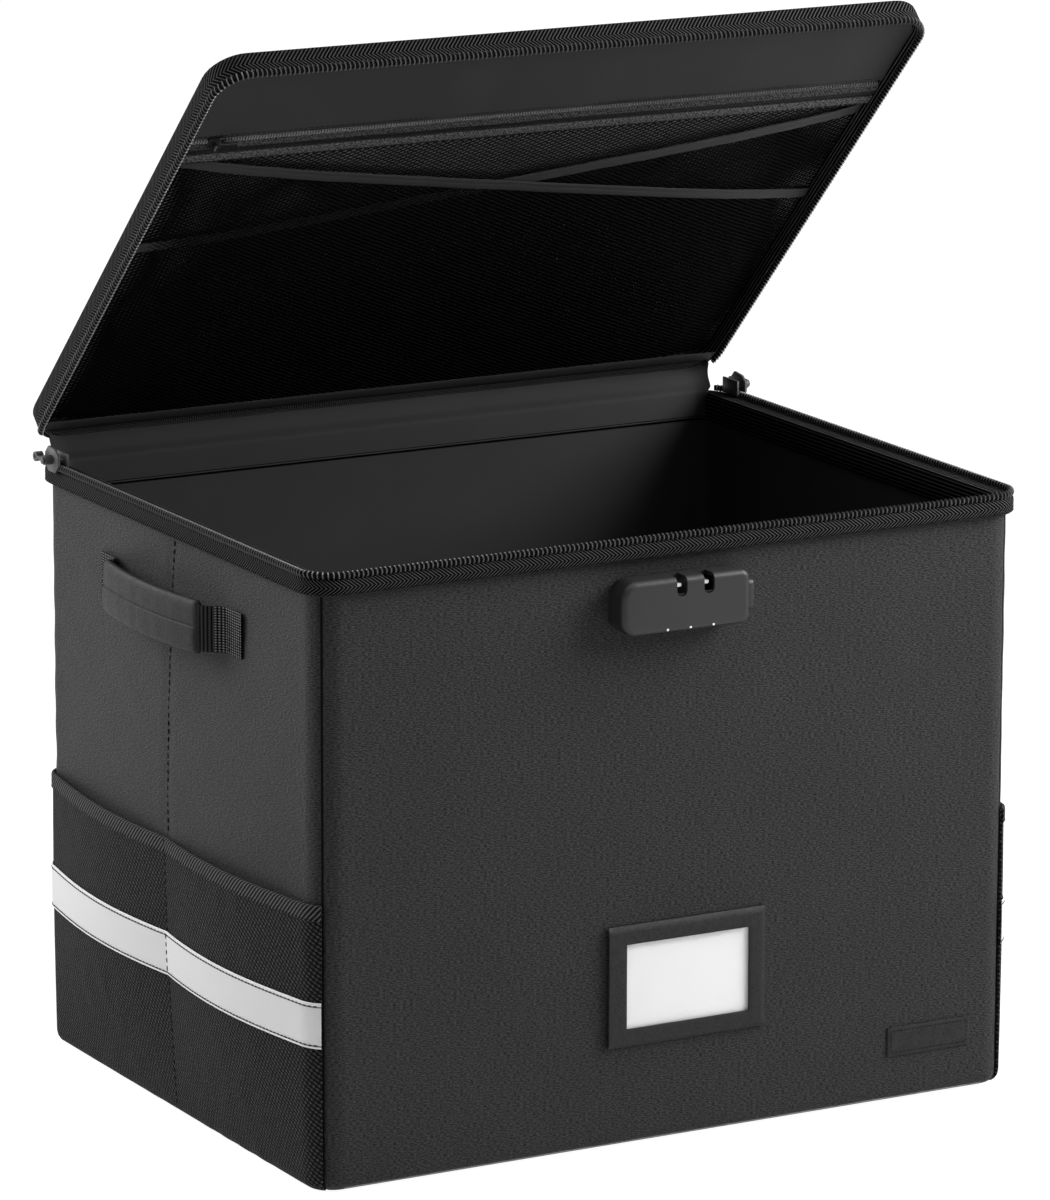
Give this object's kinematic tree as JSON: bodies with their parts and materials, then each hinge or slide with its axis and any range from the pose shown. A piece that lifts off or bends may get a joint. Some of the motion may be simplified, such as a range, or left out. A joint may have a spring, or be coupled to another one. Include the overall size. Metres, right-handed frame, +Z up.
{
  "type": "fireproof record storage box",
  "caption": "Soft-sided storage box for records with boards in its walls, a zipped lid on a cloth hinge, a dial lock, grab handles, side pockets and net pockets in the lid.",
  "frame": {"origin": "middle of the box's underside, on the surface it stands on", "axes": "+X to the right seen from the front, +Y to the back where the lid is hinged, +Z up"},
  "size_m": [0.4514, 0.3483, 0.5668],
  "materials": {
    "shell_cloth": "silicone-coated glass cloth with a fine leather grain, charcoal, satin",
    "board": "fire-resistant fibre board",
    "lining_cloth": "smooth black lining cloth",
    "base_board": "stiff board covered in black lining cloth",
    "zip_tape": "black herringbone zip tape",
    "zip_coil": "black nylon coil",
    "leather_cloth": "dark leather-grained coated cloth",
    "clear_film": "clear soft film",
    "card": "white card, bare",
    "lock_plastic": "dark grey moulded plastic, satin",
    "dial_plastic": "black moulded dials",
    "steel": "bright plated steel",
    "slider_metal": "gunmetal die-cast slider",
    "dark_metal": "black painted slider",
    "pocket_cloth": "dark textured pocket cloth",
    "binding": "black woven binding",
    "reflective_strip": "light grey reflective tape with stitched edges",
    "webbing": "black box-weave webbing",
    "net": "black net"
  },
  "bodies": {
    "box": {"front_cloth": "shell_cloth", "back_cloth": "shell_cloth", "left_cloth": "shell_cloth", "right_cloth": "shell_cloth", "bottom_cloth": "shell_cloth", "front_board": "board", "back_board": "board", "left_board_front": "board", "left_board_back": "board", "right_board_front": "board", "right_board_back": "board", "bottom_board": "board", "lining": "lining_cloth", "rim_tape": "zip_tape", "rim_coil": "zip_coil", "label_frame": "leather_cloth", "label_window": "clear_film", "front_patch": "leather_cloth", "lock_housing": "lock_plastic", "lock_chassis": "steel", "lock_spring": "steel", "left_pocket": "pocket_cloth", "left_pocket_binding": "binding", "left_reflective_strip": "reflective_strip", "left_webbing_front": "webbing", "left_webbing_back": "webbing", "right_pocket": "pocket_cloth", "right_pocket_binding": "binding", "right_reflective_strip": "reflective_strip", "right_webbing_front": "webbing", "right_webbing_back": "webbing", "hinge_band": "lining_cloth"},
    "lid": {"lid_cloth": "shell_cloth", "lid_board": "board", "lid_lining": "lining_cloth", "lid_band": "zip_tape", "lid_coil": "zip_coil", "net_binding": "binding", "lid_net": "net", "slant_net_rear": "net", "slant_net_front": "net", "strap_rear": "binding", "strap_front": "binding", "pocket_zip_tape": "zip_tape", "pocket_zip_coil": "zip_coil", "pocket_top_panel": "lining_cloth"},
    "base_board": {"base_board": "base_board"},
    "left_slider": {"left_slider": "slider_metal"},
    "left_pull": {"left_pull": "slider_metal"},
    "right_slider": {"right_slider": "slider_metal"},
    "right_pull": {"right_pull": "slider_metal"},
    "pocket_slider": {"pocket_slider": "dark_metal"},
    "pocket_pull": {"pocket_pull": "dark_metal"},
    "left_grip": {"left_grip": "leather_cloth"},
    "right_grip": {"right_grip": "leather_cloth"},
    "label_card": {"label_card": "card"},
    "lock_latch": {"lock_latch": "steel"},
    "lock_dial_1": {"lock_dial_1": "dial_plastic"},
    "lock_dial_2": {"lock_dial_2": "dial_plastic"},
    "lock_dial_3": {"lock_dial_3": "dial_plastic"}
  },
  "joints": [
    {"name": "lid_hinge", "type": "hinge", "parent": "box", "child": "lid", "pos_m": [0, 0.1633, 0.3241], "axis": [-1, 0, 0], "range_deg": [-45, 135], "deforming": ["hinge_band"]},
    {"name": "base_board_lift", "type": "slide", "parent": "box", "child": "base_board", "axis": [0, 0, 1], "range_m": [0, 0.29]},
    {"name": "left_slider_run", "type": "slide", "parent": "box", "child": "left_slider", "axis": [0, -1, 0], "range_m": [0, 0.27]},
    {"name": "right_slider_run", "type": "slide", "parent": "box", "child": "right_slider", "axis": [0, -1, 0], "range_m": [0, 0.27]},
    {"name": "left_pull_swing", "type": "hinge", "parent": "left_slider", "child": "left_pull", "pos_m": [-0.2135, 0.1355, 0.32475], "axis": [-1, 0, 0], "range_deg": [-60, 180]},
    {"name": "right_pull_swing", "type": "hinge", "parent": "right_slider", "child": "right_pull", "pos_m": [0.2135, 0.1355, 0.32475], "axis": [-1, 0, 0], "range_deg": [-60, 180]},
    {"name": "pocket_slider_run", "type": "slide", "parent": "lid", "child": "pocket_slider", "axis": [1, 0, 0], "range_m": [0, 0.38]},
    {"name": "pocket_pull_swing", "type": "hinge", "parent": "pocket_slider", "child": "pocket_pull", "pos_m": [-0.19, -0.02147, 0.51353], "axis": [0, 0.7071, -0.7071], "range_deg": [0, 170]},
    {"name": "left_grip_lift", "type": "hinge", "parent": "box", "child": "left_grip", "pos_m": [-0.205, 0, 0.274], "axis": [0, 1, 0], "range_deg": [-30, 30], "deforming": ["left_webbing_front", "left_webbing_back"]},
    {"name": "right_grip_lift", "type": "hinge", "parent": "box", "child": "right_grip", "pos_m": [0.205, 0, 0.274], "axis": [0, -1, 0], "range_deg": [-30, 30], "deforming": ["right_webbing_front", "right_webbing_back"]},
    {"name": "card_slide", "type": "slide", "parent": "box", "child": "label_card", "axis": [-1, 0, 0], "range_m": [0, 0.08]},
    {"name": "latch_press", "type": "slide", "parent": "box", "child": "lock_latch", "axis": [-1, 0, 0], "range_m": [0, 0.004], "stiffness_N_per_m": 400, "springref_m": -0.002, "deforming": ["lock_spring"]},
    {"name": "dial_1_turn", "type": "hinge", "parent": "box", "child": "lock_dial_1", "pos_m": [-0.0127, -0.1659, 0.2769], "axis": [1, 0, 0], "continuous": true},
    {"name": "dial_2_turn", "type": "hinge", "parent": "box", "child": "lock_dial_2", "pos_m": [0.0007, -0.1659, 0.2769], "axis": [1, 0, 0], "continuous": true},
    {"name": "dial_3_turn", "type": "hinge", "parent": "box", "child": "lock_dial_3", "pos_m": [0.0141, -0.1659, 0.2769], "axis": [1, 0, 0], "continuous": true}
  ]
}
